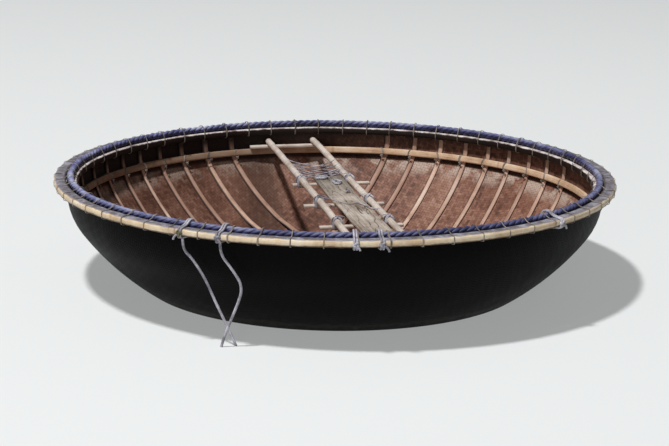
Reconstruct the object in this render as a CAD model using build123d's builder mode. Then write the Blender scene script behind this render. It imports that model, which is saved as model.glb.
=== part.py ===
# A round basket coracle: a bowl of woven split bamboo, closed with pitch, about two metres across.
# Millimetres, +Z up. The origin is the centre of the waterline circle, on the water it floats on.
# +Y points away from the bank that the boat lies at, +X to the right of that view.
import os
from math import asin, atan2, cos, degrees, dist, pi, radians, sin, sqrt, tan

from build123d import *

os.makedirs("parts", exist_ok=True)

# Bowl
wall_radius = 955.0        # outer face of the bowl, upright between the rim hoops
side_flare = 266.0         # how far the waterline circle lies inside the wall's
freeboard = 400.0          # water up to the top of the rim rope
draft = 80.0               # water down to the lowest point
hull_wall = 9.0            # woven skin with its pitch
upright_depth = 65.0       # rim top down to where the wall starts to curve in
shoulder_radius = 205.0    # curve under the rim
shoulder_turn = 37.0       # degrees that it turns
bilge_radius = 330.0       # curve from the side to the floor

# Rim
rope_diameter = 26.0       # blue rope along the top of the rim
outer_hoop_width = 44.7
outer_hoop_height = 27.0
outer_hoop_top = 14.0      # below the rim top
inner_hoop_width = 27.5
inner_hoop_height = 26.0
hoop_round = 11.0          # rounding of the hoops' free edges
hoop_edge = 2.5            # rounding of the hoops' edges beside the bowl
scarf_gap = 1.0            # slanting joints of the hoops' ends
outer_scarf_length = 220.0
inner_scarf_length = 180.0
stringer_scarf_length = 80.0
scarf_nib = 0.3            # blunt tip of a scarfed end, as a share of the hoop's width
outer_scarf_angle = 243.0  # from +X
inner_scarf_angle = 25.0
stringer_scarf_angle = 98.0
rim_tie_count = 60
rim_tie_width = 7.0        # two turns of cord side by side
rim_tie_cord = 3.0
rim_tie_cap = 0.9          # width of the ties' flat top, as a share of the rope's diameter
rim_tie_corner = 2.8       # cut off the ties' corners at the hoops

# Frame inside
rib_width = 24.0
rib_thickness = 8.0
rib_pitch = 108.0
ribs_each_way = 9
lower_rib_angle = 55.0     # direction of the ribs that lie on the skin, from +X
upper_rib_angle = 148.0    # direction of the ribs that cross over them
rib_step_turn = 5.0        # part of the side, in degrees, over which a crossing rib climbs
stringer_width = 12.0
stringer_height = 25.0
stringer_round = 3.5
stringer_drop = 118.0      # rim top down to the middle of the stringer hoop
stringer_tie_width = 6.0
stringer_tie_cord = 2.5

# Bench
bench_angle = 16.2         # poles' direction, turned from +Y towards -X
bench_shift = 3.0          # middle of the poles to the right of the bowl's middle
pole_spacing = 180.0
pole_diameter = 25.0
end_chamfer = 2.0          # on the ends of poles and battens
crosspiece_length = 280.0
crosspiece_width = 30.0
crosspiece_thickness = 11.0
far_crosspiece_shift = -26.0
slat_width = 26.0
slat_thickness = 10.0
slat_length = 290.0
slat_round = 4.0
slat_places = ((190.0, 21.0), (-150.0, 0.0), (-470.0, -6.0))   # along the bench, to its right
plank_clearance = 3.2      # from the right pole's ties
plank_thickness = 12.0
plank_chamfer = 3.0
plank_far_end = 245.0      # along the bench
plank_bearing = 22.0       # of its near end on the crosspiece
plank_shift = 16.5
bench_tie_width = 8.0
bench_tie_cord = 3.0

# Cords on the near rim
bridle_diameter = 9.0
hitch_width = 20.0
hitch_cord = 8.0
bridle_inset = 15.0        # its ends from the outer hoop's outer face
bend_share = 0.45          # of a straight run that a bend may take up
bridle_hitch_angles = (245.4, 253.3)    # from +X
mooring_hitch_angles = (278.6, 283.4, 322.5)

gap = 0.3                  # between pieces that only lie against each other
rim_top = freeboard
water_radius = wall_radius - side_flare

# Arcs of the bowl's outer face from the wall down to the floor: centre, radius, start and turn.
# A layer further in has the same centres, with each radius less its depth.
shoulder_z = rim_top - upright_depth
shoulder_centre = (wall_radius - shoulder_radius, shoulder_z)
shoulder_end = (shoulder_centre[0] + shoulder_radius * cos(radians(shoulder_turn)),
                shoulder_centre[1] - shoulder_radius * sin(radians(shoulder_turn)))
side_chord = dist(shoulder_end, (water_radius, 0))
side_slope = degrees(atan2(shoulder_end[0] - water_radius, shoulder_end[1]))
side_turn = 2 * (side_slope - shoulder_turn)
side_radius = side_chord / 2 / sin(radians(side_turn / 2))
side_centre = (shoulder_end[0] - side_radius * cos(radians(shoulder_turn)),
               shoulder_end[1] + side_radius * sin(radians(shoulder_turn)))
water_turn = shoulder_turn + side_turn
bilge_centre = (water_radius - bilge_radius * cos(radians(water_turn)),
                bilge_radius * sin(radians(water_turn)))
bilge_height = bilge_centre[1] + draft
floor_radius = ((bilge_centre[0] ** 2 + bilge_height ** 2 - bilge_radius ** 2)
                / 2 / (bilge_height - bilge_radius))
floor_centre = (0, floor_radius - draft)
floor_turn = degrees(atan2(bilge_centre[0], floor_centre[1] - bilge_centre[1]))
bowl_arcs = (
    (shoulder_centre, shoulder_radius, 0, -shoulder_turn),
    (side_centre, side_radius, -shoulder_turn, -side_turn),
    (bilge_centre, bilge_radius, -water_turn, water_turn + floor_turn - 90),
    (floor_centre, floor_radius, floor_turn - 90, -floor_turn),
)

# Levels and depths of what sits in the bowl
hoop_top = rim_top - outer_hoop_top
rope_radius = wall_radius - rope_diameter / 2
rope_z = rim_top - rope_diameter / 2
hull_top = rope_z - rope_diameter / 2 - gap
inner_hoop_outer = wall_radius - hull_wall - gap
inner_hoop_inner = inner_hoop_outer - inner_hoop_width
inner_hoop_bottom = hull_top - inner_hoop_height
outer_hoop_inner = wall_radius + gap
outer_hoop_outer = outer_hoop_inner + outer_hoop_width
outer_hoop_bottom = hoop_top - outer_hoop_height
rib_top = inner_hoop_bottom - rim_tie_cord - 2 * gap
lower_rib_depth = hull_wall + gap
upper_rib_depth = lower_rib_depth + rib_thickness + gap
rib_face_depth = lower_rib_depth + rib_thickness
stringer_depth = rib_face_depth + gap + stringer_width / 2
stringer_turn = degrees(asin((stringer_drop - upright_depth) / (shoulder_radius - stringer_depth)))
stringer_r = shoulder_centre[0] + (shoulder_radius - stringer_depth) * cos(radians(stringer_turn))
stringer_z = rim_top - stringer_drop
stringer_top = stringer_z + (stringer_height * cos(radians(stringer_turn))
                             + stringer_width * sin(radians(stringer_turn))) / 2
crosspiece_bottom = stringer_top + gap
pole_bottom = crosspiece_bottom + crosspiece_thickness + gap
pole_z = pole_bottom + pole_diameter / 2
tie_side = pole_diameter / 2 + gap
plank_width = pole_spacing - 2 * (tie_side + bench_tie_cord + plank_clearance + plank_shift)
bench_plane = Plane(origin=(0, 0, 0), x_dir=(cos(radians(bench_angle)), sin(radians(bench_angle)), 0),
                    z_dir=(0, 0, 1))
pole_places = (("bench_pole_left", bench_shift - pole_spacing / 2),
               ("bench_pole_right", bench_shift + pole_spacing / 2))


def depth_radius(depth, z):
    """Radius of the layer at this depth, at a height on the shoulder or the upright wall."""
    drop = max(0.0, shoulder_z - z)
    return shoulder_centre[0] + sqrt((shoulder_radius - depth) ** 2 - drop ** 2)


pole_reach = depth_radius(rib_face_depth, pole_bottom) - gap
crosspiece_reach = depth_radius(rib_face_depth, crosspiece_bottom) - gap


def arc_at(arc, depth, angle):
    """Point of a bowl arc at this depth and angle."""
    (x, z), radius = arc[0], arc[1] - depth
    return (x + radius * cos(radians(angle)), z + radius * sin(radians(angle)))


def draw_layer(depths, top):
    """Half section of a layer of the bowl between two depths, in the open BuildLine."""
    for depth in depths:
        Line((wall_radius - depth, top), (wall_radius - depth, shoulder_z))
        for centre, radius, start, turn in bowl_arcs:
            CenterArc(centre, radius - depth, start, turn)
    Line((wall_radius - depths[0], top), (wall_radius - depths[1], top))
    Line((0, depths[0] - draft), (0, depths[1] - draft))


def draw_crossing_layer():
    """Half section of the ribs that climb over the others inside the waterline."""
    shoulder, side, bilge, floor = bowl_arcs
    step = rib_step_turn - water_turn
    for low, high in ((lower_rib_depth, upper_rib_depth), (rib_face_depth, upper_rib_depth + rib_thickness)):
        Line((wall_radius - low, rib_top), (wall_radius - low, shoulder_z))
        CenterArc(shoulder[0], shoulder[1] - low, shoulder[2], shoulder[3])
        CenterArc(side[0], side[1] - low, side[2], side[3] + rib_step_turn)
        Line(arc_at(side, low, step), arc_at(bilge, high, -water_turn))
        CenterArc(bilge[0], bilge[1] - high, bilge[2], bilge[3])
        CenterArc(floor[0], floor[1] - high, floor[2], floor[3])
    Line((wall_radius - lower_rib_depth, rib_top), (wall_radius - rib_face_depth, rib_top))
    Line((0, upper_rib_depth - draft), (0, upper_rib_depth + rib_thickness - draft))


def save(name, part):
    part.label = name
    export_step(part, f"parts/{name}.step")


# Bowl
with BuildPart() as hull:
    with BuildSketch(Plane.XZ):
        with BuildLine():
            draw_layer((0, hull_wall), hull_top)
        make_face()
    revolve(axis=Axis.Z)
save("hull_shell", hull.part)


def cut_scarf(middle, width, bottom, height, length, angle):
    """Cuts the open ring's two ends apart along a slant with blunt tips."""
    reach = width * (0.5 - scarf_nib)
    swing = degrees(asin(length / 2 / middle))
    near_tip = Vector(middle - reach, 0).rotate(Axis.Z, -swing)
    far_tip = Vector(middle + reach, 0).rotate(Axis.Z, swing)
    slant = degrees(atan2(far_tip.Y - near_tip.Y, far_tip.X - near_tip.X))
    with BuildSketch(Plane.XY.offset(bottom).rotated((0, 0, angle))) as slit:
        with Locations(Location((near_tip + far_tip) / 2, (0, 0, slant))):
            Rectangle((far_tip - near_tip).length + scarf_gap, scarf_gap)
        for tip, turn, side in ((near_tip, -swing, Align.MAX), (far_tip, swing, Align.MIN)):
            with Locations(Location(tip, (0, 0, turn))):
                Rectangle(width, scarf_gap, align=(side, Align.CENTER))
    extrude(slit.sketch, amount=height, mode=Mode.SUBTRACT)


def make_hoop(name, inner, bottom, width, height, free_side, scarf):
    """Split-bamboo hoop, rounded on its free side: 1 away from the middle of the bowl, -1 towards it."""
    middle = inner + width / 2
    with BuildPart() as hoop:
        with BuildSketch(Plane.XZ) as section:
            with Locations((middle, bottom + height / 2)):
                Rectangle(width, height)
            corners = section.vertices().sort_by(Axis.X, reverse=free_side < 0)
            fillet(corners[2:], hoop_round)
            fillet(section.vertices().sort_by(Axis.X, reverse=free_side < 0)[:2], hoop_edge)
        revolve(axis=Axis.Z)
        cut_scarf(middle, width, bottom - 1, height + 2, *scarf)
    save(name, hoop.part)


make_hoop("rim_outer_hoop", outer_hoop_inner, outer_hoop_bottom, outer_hoop_width, outer_hoop_height, 1,
          (outer_scarf_length, outer_scarf_angle))
make_hoop("rim_inner_hoop", inner_hoop_inner, inner_hoop_bottom, inner_hoop_width, inner_hoop_height, -1,
          (inner_scarf_length, inner_scarf_angle))

# Rope along the rim
with BuildPart() as rope:
    with BuildSketch(Plane.XZ):
        with Locations((rope_radius, rope_z)):
            Circle(rope_diameter / 2)
    revolve(axis=Axis.Z)
save("rim_rope", rope.part)


def make_rim_ties(name, cord, width, angles):
    """Bands of cord round the whole rim, from the bowl's outer face over the rope to its inner face."""
    cap = rope_diameter * rim_tie_cap / 2
    with BuildPart() as tie:
        with BuildSketch(Plane.XZ) as band:
            with BuildLine():
                Polyline(
                    (outer_hoop_outer - rim_tie_corner, outer_hoop_bottom - gap),
                    (outer_hoop_outer + gap, outer_hoop_bottom + rim_tie_corner),
                    (outer_hoop_outer + gap, hoop_top - rim_tie_corner),
                    (rope_radius + cap, rim_top + gap),
                    (rope_radius - cap, rim_top + gap),
                    (inner_hoop_inner - gap, hull_top - rim_tie_corner),
                    (inner_hoop_inner - gap, inner_hoop_bottom + rim_tie_corner),
                    (inner_hoop_inner + rim_tie_corner, inner_hoop_bottom - gap),
                    (wall_radius - hull_wall / 2, inner_hoop_bottom - gap),
                    (wall_radius - hull_wall / 2, outer_hoop_bottom - gap),
                    close=True,
                )
            inside = make_face()
            offset(amount=cord, kind=Kind.INTERSECTION)
            add(inside.face(), mode=Mode.SUBTRACT)
            with Locations((wall_radius - hull_wall / 2, hull_top)):
                Rectangle(hull_wall + 2 * gap, rim_top - inner_hoop_bottom, align=(Align.CENTER, Align.MAX),
                          mode=Mode.SUBTRACT)
        extrude(amount=width / 2, both=True)
    with BuildPart() as ties:
        with Locations(*[Rotation(0, 0, angle) for angle in angles]):
            add(tie.part)
    save(name, ties.part)


make_rim_ties("rim_lashings", rim_tie_cord, rim_tie_width,
              [360 / rim_tie_count * (k + 0.5) for k in range(rim_tie_count)])

# Ribs: two crossing sets of split bamboo, each rib upright in plan and bent to the bowl
rib_ends = []


def make_rib_set(prefix, angle, draw_section):
    for k in range(ribs_each_way):
        shift = (k - (ribs_each_way - 1) / 2) * rib_pitch
        with BuildPart() as rib:
            with BuildSketch(Plane.XZ):
                with BuildLine():
                    draw_section()
                make_face()
            revolve(axis=Axis.Z)
            with BuildSketch(Plane.XY.offset(-draft).rotated((0, 0, angle))):
                with Locations((0, shift)):
                    Rectangle(2 * wall_radius, rib_width)
            extrude(amount=draft + rim_top, mode=Mode.INTERSECT)
        save(f"{prefix}_{k + 1}", rib.part)
        half = degrees(asin(shift / stringer_r))
        rib_ends.extend((angle + half, angle + 180 - half))


make_rib_set("rib_lower", lower_rib_angle, lambda: draw_layer((lower_rib_depth, rib_face_depth), rib_top))
make_rib_set("rib_upper", upper_rib_angle, draw_crossing_layer)

# Stringer hoop on the ribs, and the ties that hold it to each of them
stringer_spot = Location((stringer_r, stringer_z), -stringer_turn)
with BuildPart() as stringer:
    with BuildSketch(Plane.XZ):
        with Locations(stringer_spot):
            RectangleRounded(stringer_width, stringer_height, stringer_round)
    revolve(axis=Axis.Z)
    cut_scarf(stringer_r, stringer_width, stringer_z - stringer_height, 2 * stringer_height,
              stringer_scarf_length, stringer_scarf_angle)
save("stringer_hoop", stringer.part)

with BuildPart() as stringer_tie:
    with BuildSketch(Plane.XZ):
        with Locations(stringer_spot):
            Rectangle(stringer_width + 2 * gap + 2 * stringer_tie_cord,
                      stringer_height + 2 * gap + 2 * stringer_tie_cord)
            Rectangle(stringer_width + 2 * gap, stringer_height + 2 * gap, mode=Mode.SUBTRACT)
            with Locations((stringer_width / 2 - gap, 0)):
                Rectangle(stringer_width, 2 * stringer_height, align=(Align.MIN, Align.CENTER),
                          mode=Mode.SUBTRACT)
    extrude(amount=stringer_tie_width / 2, both=True)
with BuildPart() as stringer_ties:
    with Locations(*[Rotation(0, 0, angle) for angle in rib_ends]):
        add(stringer_tie.part)
save("stringer_lashings", stringer_ties.part)

# Bench: two poles on crosspieces that lie on the stringer hoop, with slats and a plank between them
for name, place in pole_places:
    half = sqrt(pole_reach ** 2 - (abs(place) + pole_diameter / 2) ** 2)
    with BuildPart() as pole:
        with BuildSketch(Plane(origin=bench_plane.from_local_coords((place, 0, pole_z)),
                               x_dir=bench_plane.x_dir, z_dir=bench_plane.y_dir)):
            Circle(pole_diameter / 2)
        extrude(amount=half, both=True)
        chamfer(pole.edges().filter_by(GeomType.CIRCLE), end_chamfer)
    save(name, pole.part)


def make_crosspiece(name, side, shift):
    """Batten across the bowl on the stringer hoop, its ends cut to the curve of the ribs."""
    with BuildPart() as batten:
        with BuildSketch(bench_plane.offset(crosspiece_bottom)) as outline:
            with Locations((shift, side * (stringer_r - crosspiece_width / 2))):
                Rectangle(crosspiece_length, crosspiece_width)
            chamfer(outline.vertices(), end_chamfer)
            Circle(crosspiece_reach, mode=Mode.INTERSECT)
        extrude(amount=crosspiece_thickness)
    save(name, batten.part)


make_crosspiece("bench_crosspiece_far", 1, far_crosspiece_shift)
make_crosspiece("bench_crosspiece_near", -1, bench_shift)

slat_top = pole_bottom - gap
with BuildPart() as slats:
    with BuildSketch(bench_plane.offset(slat_top)):
        for along, shift in slat_places:
            with Locations((bench_shift + shift, along)):
                RectangleRounded(slat_length, slat_width, slat_round)
    extrude(amount=-slat_thickness)
save("bench_slats", slats.part)

plank_bottom = slat_top + gap
plank_near_end = stringer_r - crosspiece_width + plank_bearing
with BuildPart() as plank:
    with BuildSketch(bench_plane.offset(plank_bottom)):
        with Locations((bench_shift + plank_shift, (plank_far_end - plank_near_end) / 2)):
            Rectangle(plank_width, plank_far_end + plank_near_end)
    extrude(amount=plank_thickness)
    chamfer(plank.edges().filter_by(Axis.Z), plank_chamfer)
save("bench_plank", plank.part)

# Cord ties of the bench: over a pole on both sides of a slat, and joined under the slat
tie_foot = -pole_diameter / 2 - slat_thickness - 2 * gap
tie_cut = 3 * pole_diameter    # wider and higher than a tie
with BuildPart() as bench_tie:
    with BuildSketch(Plane.XZ):
        Circle(tie_side + bench_tie_cord)
        with Locations((0, (tie_foot - bench_tie_cord) / 2)):
            Rectangle(2 * (tie_side + bench_tie_cord), bench_tie_cord - tie_foot)
        Circle(tie_side, mode=Mode.SUBTRACT)
        Rectangle(2 * tie_side, 2 * pole_diameter + slat_thickness, align=(Align.CENTER, Align.MAX),
                  mode=Mode.SUBTRACT)
    extrude(amount=slat_width / 2 + gap + bench_tie_width, both=True)
    with BuildSketch(Plane.XY.offset(tie_foot)):
        Rectangle(tie_cut, slat_width + 2 * gap)
    extrude(amount=tie_cut, mode=Mode.SUBTRACT)
with BuildPart() as bench_ties:
    with Locations(*[Location(bench_plane.from_local_coords((place, along, pole_z)), (0, 0, bench_angle))
                     for along, shift in slat_places for name, place in pole_places]):
        add(bench_tie.part)
save("bench_lashings", bench_ties.part)

# Hitches on the near rim
make_rim_ties("rim_hitches", hitch_cord, hitch_width, bridle_hitch_angles + mooring_hitch_angles)

# Bridle: a limp loop of cord that hangs from two hitches into the water
hitch_exit_r = outer_hoop_outer - bridle_inset
hitch_exit_z = outer_hoop_bottom - gap - hitch_cord - gap
bridle_starts = [(hitch_exit_r * cos(radians(angle)), hitch_exit_r * sin(radians(angle)), hitch_exit_z)
                 for angle in bridle_hitch_angles]
bridle_exit_run = 34.0     # straight down out of each hitch
bridle_offsets = (         # from the first hitch's exit: to the right, away and up
    (30, 3, -64),
    (70, 6, -128),
    (104, 8, -208),
    (139, 10, -282),
    (166, 8, -341),
    (188, 4, -388),
    (176, -2, -415),
    (137, -7, -417),
    (117, -11, -388),
    (127, -14, -341),
    (150, -18, -276),
    (177, -24, -211),
    (199, -31, -143),
    (159, -41, -77),
)
bridle_path = [bridle_starts[0], Vector(bridle_starts[0]) - (0, 0, bridle_exit_run)]
bridle_path += [Vector(bridle_starts[0]) + offset for offset in bridle_offsets]
bridle_path += [Vector(bridle_starts[1]) - (0, 0, bridle_exit_run), bridle_starts[1]]


def bend_radii(points):
    """Arc radius at each inner point of a cord's route: as large as the shorter of its two runs allows."""
    radii = []
    for before, here, after in zip(points, points[1:], points[2:]):
        first, second = Vector(here) - Vector(before), Vector(after) - Vector(here)
        turn = radians(first.get_angle(second))
        radii.append(bend_share * min(first.length, second.length) / tan(turn / 2))
    return radii


bridle_radii = bend_radii(bridle_path)
print("bridle radii", [round(radius, 1) for radius in bridle_radii])
with BuildPart() as bridle:
    with BuildLine():
        route = FilletPolyline(*bridle_path, radius=bridle_radii)
    with BuildSketch(Plane(origin=route @ 0, z_dir=route % 0)):
        Circle(bridle_diameter / 2)
    sweep()
bridle_section = pi * bridle_diameter ** 2 / 4
print("bridle length", round(route.length), "share of section times length",
      round(bridle.part.volume / route.length / bridle_section, 4))
save("bridle_rope", bridle.part)
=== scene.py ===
from functools import partial
from math import asin, atan2, ceil, cos, exp, hypot, pi, radians, sin, sqrt, tan, tau
from random import Random

import bmesh
import bpy
import numpy as np
from mathutils import Matrix, Vector


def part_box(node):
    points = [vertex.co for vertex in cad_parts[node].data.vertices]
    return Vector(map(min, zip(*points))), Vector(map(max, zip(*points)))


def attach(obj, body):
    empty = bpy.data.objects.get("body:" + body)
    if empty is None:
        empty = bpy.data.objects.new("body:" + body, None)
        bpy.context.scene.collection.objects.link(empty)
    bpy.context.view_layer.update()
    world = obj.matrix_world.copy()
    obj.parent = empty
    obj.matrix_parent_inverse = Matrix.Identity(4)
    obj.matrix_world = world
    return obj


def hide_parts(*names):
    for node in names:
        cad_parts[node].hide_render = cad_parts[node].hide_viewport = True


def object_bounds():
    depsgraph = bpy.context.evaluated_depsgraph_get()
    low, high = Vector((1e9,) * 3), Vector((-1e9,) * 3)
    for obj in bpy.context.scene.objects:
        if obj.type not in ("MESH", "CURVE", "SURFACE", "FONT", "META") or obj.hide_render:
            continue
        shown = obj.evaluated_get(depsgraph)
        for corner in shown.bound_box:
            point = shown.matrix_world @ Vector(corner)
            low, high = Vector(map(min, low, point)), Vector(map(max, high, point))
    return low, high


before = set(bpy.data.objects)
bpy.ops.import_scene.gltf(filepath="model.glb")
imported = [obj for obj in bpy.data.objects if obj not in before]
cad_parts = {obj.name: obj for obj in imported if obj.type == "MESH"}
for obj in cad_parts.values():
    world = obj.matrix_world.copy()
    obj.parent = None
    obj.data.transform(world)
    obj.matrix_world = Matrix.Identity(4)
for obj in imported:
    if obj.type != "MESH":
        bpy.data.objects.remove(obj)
cad_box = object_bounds()

# Bowl, from the frame and the maker's own sizes
hull_low, hull_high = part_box("hull_shell")
WALL_RADIUS = hull_high[0]
DRAFT = -hull_low[2]
HULL_TOP = hull_high[2]
WALL = 0.009
WATERLINE_RADIUS = 0.689
UPRIGHT_Z = 0.335
SHOULDER_RADIUS = 0.205
SHOULDER_TURN = radians(37)
BILGE_RADIUS = 0.330
STATION_STEP = 0.008     # between the stations up the bowl
UPRIGHT_STATIONS = 6     # on the bowl's upright lip

# Weave of the skin
STRIP_WIDTH = 0.011
WEAVE_TURN = radians(31)

# Ribs, from the frame's two layers
RIB_WIDTH = 0.024
RIB_THICKNESS = 0.008
RIB_PITCH = 0.108
RIB_STRIDE = 3.1         # between the ribs on their shared UV map
RIBS_EACH_WAY = 9
LOWER_RIB_ANGLE = radians(55)
UPPER_RIB_ANGLE = radians(148)
RIB_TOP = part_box("rib_lower_5")[1][2]
LOWER_RIB_DEPTH = 0.0093
UPPER_RIB_DEPTH = 0.0176
CLIMB_RADIUS = 0.753     # where the crossing ribs have come down to the skin
EVEN_REACH = 0.85        # rib points are evenly spaced inside this radius, on the bowl's stations outside it

# Joints of the canes
JOINT_HEIGHT = 0.0011
JOINT_LENGTH = 0.007
RIB_JOINTS = 0.31        # distance from joint to joint
OUTER_HOOP_JOINTS = 0.38
INNER_HOOP_JOINTS = 0.36
STRINGER_JOINTS = 0.36

# Rim: sections of its hoops, as inner and outer radius, foot and top
OUTER_HOOP = (0.9560, 0.9995, 0.3595, 0.3858)
INNER_HOOP = (0.9187, 0.9453, 0.3482, 0.3732)
HOOP_SCARF = 0.22        # length over which a hoop's two ends lie on each other
RIM_RADIUS = 0.96        # at which distances along the rim are measured
RIM_LASHINGS = 60

# Stringer hoop: middle of its section, and how far it leans out
STRINGER_WIDTH = 0.012
STRINGER_HEIGHT = 0.025
STRINGER_RADIUS = 0.9235
STRINGER_Z = 0.282
STRINGER_LEAN = radians(17)
STRINGER_SCARF = 0.16

# Bench line: turned from +Y towards -X
BENCH_ANGLE = radians(16.2)
BENCH_SHIFT = 0.003
POLE_SPACING = 0.180
POLE_RADIUS = 0.0125
POLE_Z = 0.3198
SLATS = ((0.190, 0.021), (-0.150, 0.0), (-0.470, -0.006))   # along the bench, to its right

# Places of the hitches round the rim, from +X; the bridle hangs from the first two
HITCH_ANGLES = [radians(angle) for angle in (245.4, 253.3, 278.6, 283.4, 322.5)]

# Camera of the photograph: its place, its roll, and a longer lens aimed at the boat
CAMERA_PLACE = (0.579, -7.043, 1.911)
CAMERA_ROLL = radians(0.74)
SENSOR_WIDTH = 36.0
BOAT_WIDTH_SHARE = 0.83
AIM = (0.0, 0.0, 0.200)

FLOOR_RADIUS = 60.0
MERGE_DISTANCE = 1e-5


# Camera, floor and light

def aimed_from(place, roll=0.0):
    """Matrix of a camera or lamp at this place that looks at the boat."""
    turn = (Vector(AIM) - Vector(place)).to_track_quat("-Z", "Y").to_matrix()
    turn = turn @ Matrix.Rotation(roll, 3, "Z")
    return Matrix.Translation(place) @ turn.to_4x4()


def place_camera():
    """Camera at the photograph's place, with the lens that gives the boat its share of the frame."""
    distance = (Vector(AIM) - Vector(CAMERA_PLACE)).length
    data = bpy.data.cameras.new("photo_view")
    data.sensor_width = SENSOR_WIDTH
    data.lens = BOAT_WIDTH_SHARE * SENSOR_WIDTH * distance / (cad_box[1][0] - cad_box[0][0])
    camera = bpy.data.objects.new("photo_view", data)
    camera.matrix_world = aimed_from(CAMERA_PLACE, CAMERA_ROLL)
    bpy.context.scene.collection.objects.link(camera)
    bpy.context.scene.camera = camera


def linear(hex_colour):
    """sRGB hex to linear RGBA."""
    parts = [int(hex_colour[k:k + 2], 16) / 255 for k in (1, 3, 5)]
    return [c / 12.92 if c <= 0.04045 else ((c + 0.055) / 1.055) ** 2.4 for c in parts] + [1.0]


def add(tree, kind, *values, named=None, stops=(), **settings):
    """Adds a shader node with its settings; a colour ramp gets its stops, as places and hex colours.

    Values fill the sockets in use, in order or by name: a number, a hex colour, or a node or output to link.
    """
    node = tree.nodes.new("ShaderNode" + kind)
    for name, value in settings.items():
        setattr(node, name, value)
    in_use = [socket for socket in node.inputs if socket.enabled]
    pairs = [*zip(in_use, values), *((node.inputs[name], value) for name, value in (named or {}).items())]
    for socket, value in pairs:
        if isinstance(value, bpy.types.Node):
            value = next(output for output in value.outputs if output.enabled)
        if isinstance(value, bpy.types.NodeSocket):
            tree.links.new(value, socket)
        else:
            socket.default_value = linear(value) if isinstance(value, str) else value
    for _ in stops[2:]:
        node.color_ramp.elements.new(0.5)
    for k, (position, colour) in enumerate(stops):
        node.color_ramp.elements[k].position = position
        node.color_ramp.elements[k].color = linear(colour)
    return node


def new_material(name):
    """An empty material, and the function that adds nodes to it."""
    material = bpy.data.materials.new(name)
    material.use_nodes = True
    material.node_tree.nodes.clear()
    return material, partial(add, material.node_tree)


def make_floor():
    """Pale matt paper at the waterline, open inside the bowl, that shows a little lighter than it lights."""
    bm = bmesh.new()
    bmesh.ops.create_circle(bm, segments=180, radius=WATERLINE_RADIUS - WALL / 2)
    bmesh.ops.create_circle(bm, segments=180, radius=FLOOR_RADIUS)
    bmesh.ops.bridge_loops(bm, edges=bm.edges[:])
    floor = mesh_object("floor", bm)
    material, node = new_material("matt_studio_paper")
    ways = node("LightPath")
    seen = node("Math", ways.outputs["Is Camera Ray"], ways.outputs["Is Glossy Ray"], operation="MAXIMUM")
    paper = node("BsdfDiffuse", "#c2c4c4")
    glow = node("Emission", "#e6e8e8", 0.38)
    both = node("AddShader", paper, glow)
    node("OutputMaterial", node("MixShader", seen, paper, both))
    floor.data.materials.append(material)


LAMPS = (                # name, place, size, and power in watts
    ("key_high_left", (-6.1, -6.8, 23.1), 1.7, 5700.0),
    ("fill_back_right", (3.5, 4.0, 4.5), 3.0, 10.0),
    ("fill_low_front", (-1.6, -12.0, 1.9), 3.0, 220.0),
)


def light_scene():
    """A far high light on the left, weak ones behind on the right and low in front, and an even sky."""
    world = bpy.data.worlds.new("studio_sky")
    bpy.context.scene.world = world
    world.use_nodes = True
    world.node_tree.nodes.clear()
    node = partial(add, world.node_tree)
    sky = node("Background", "#f4f6fa", 0.08)
    backdrop = node("Background", "#eff1f1", 1.0)
    seen = node("LightPath").outputs["Is Camera Ray"]
    node("OutputWorld", node("MixShader", seen, sky, backdrop))
    for name, place, size, power in LAMPS:
        data = bpy.data.lights.new(name, "AREA")
        data.size = size
        data.energy = power
        lamp = bpy.data.objects.new(name, data)
        lamp.matrix_world = aimed_from(place)
        lamp.visible_camera = False
        bpy.context.scene.collection.objects.link(lamp)


# Making pieces

def mesh_object(name, bm):
    mesh = bpy.data.meshes.new(name)
    bm.to_mesh(mesh)
    bm.free()
    mesh.polygons.foreach_set("use_smooth", [True] * len(mesh.polygons))
    piece = bpy.data.objects.new(name, mesh)
    bpy.context.scene.collection.objects.link(piece)
    return piece


def settle(piece, materials, slot, *nodes):
    """Gives a piece its materials, lets it ride on the boat and stand for its solids; slot is not used."""
    for material in materials:
        piece.data.materials.append(material)
    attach(piece, "root")
    if nodes:
        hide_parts(*nodes)
    return piece


def placed_grid(along, around, place, uv_at):
    """A flat grid moved to where place(u, v) says for shares of its two ways, with its UV map in metres."""
    bm = bmesh.new()
    bmesh.ops.create_grid(bm, x_segments=along, y_segments=around, size=0.5)
    uv = bm.loops.layers.uv.new("cane")
    for face in bm.faces:
        for loop in face.loops:
            loop[uv].uv = uv_at(loop.vert.co.x + 0.5, loop.vert.co.y + 0.5)
    for vert in bm.verts:
        vert.co = place(vert.co.x + 0.5, vert.co.y + 0.5)
    return bm


def bent_bar(name, along, around, place, length, girth):
    """A bar: a grid that place(u, v) rolls up and bends, closed along its seam and at its ends."""
    bm = placed_grid(along, around, place, lambda u, v: (u * length, v * girth))
    bmesh.ops.remove_doubles(bm, verts=bm.verts[:], dist=MERGE_DISTANCE)
    bmesh.ops.holes_fill(bm, edges=[edge for edge in bm.edges if edge.is_boundary], sides=0)
    bmesh.ops.recalc_face_normals(bm, faces=bm.faces[:])
    return mesh_object(name, bm)


def cord_curve(name, diameter, loops=(), ends=(), bevel=2, steps=3):
    """Cords as one curve object: a smooth closed spline along each loop, an open one along each end."""
    data = bpy.data.curves.new(name, "CURVE")
    data.dimensions = "3D"
    data.bevel_depth = diameter / 2
    data.bevel_resolution = bevel
    data.use_fill_caps = True
    for routes, closed in ((loops, True), (ends, False)):
        for route in routes:
            spline = data.splines.new("NURBS")
            spline.points.add(len(route) - 1)
            for point, co in zip(spline.points, route):
                point.co = (*co, 1.0)
            spline.order_u = 3
            spline.use_cyclic_u = closed
            spline.use_endpoint_u = not closed
            spline.resolution_u = steps
    piece = bpy.data.objects.new(name, data)
    bpy.context.scene.collection.objects.link(piece)
    return piece


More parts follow.
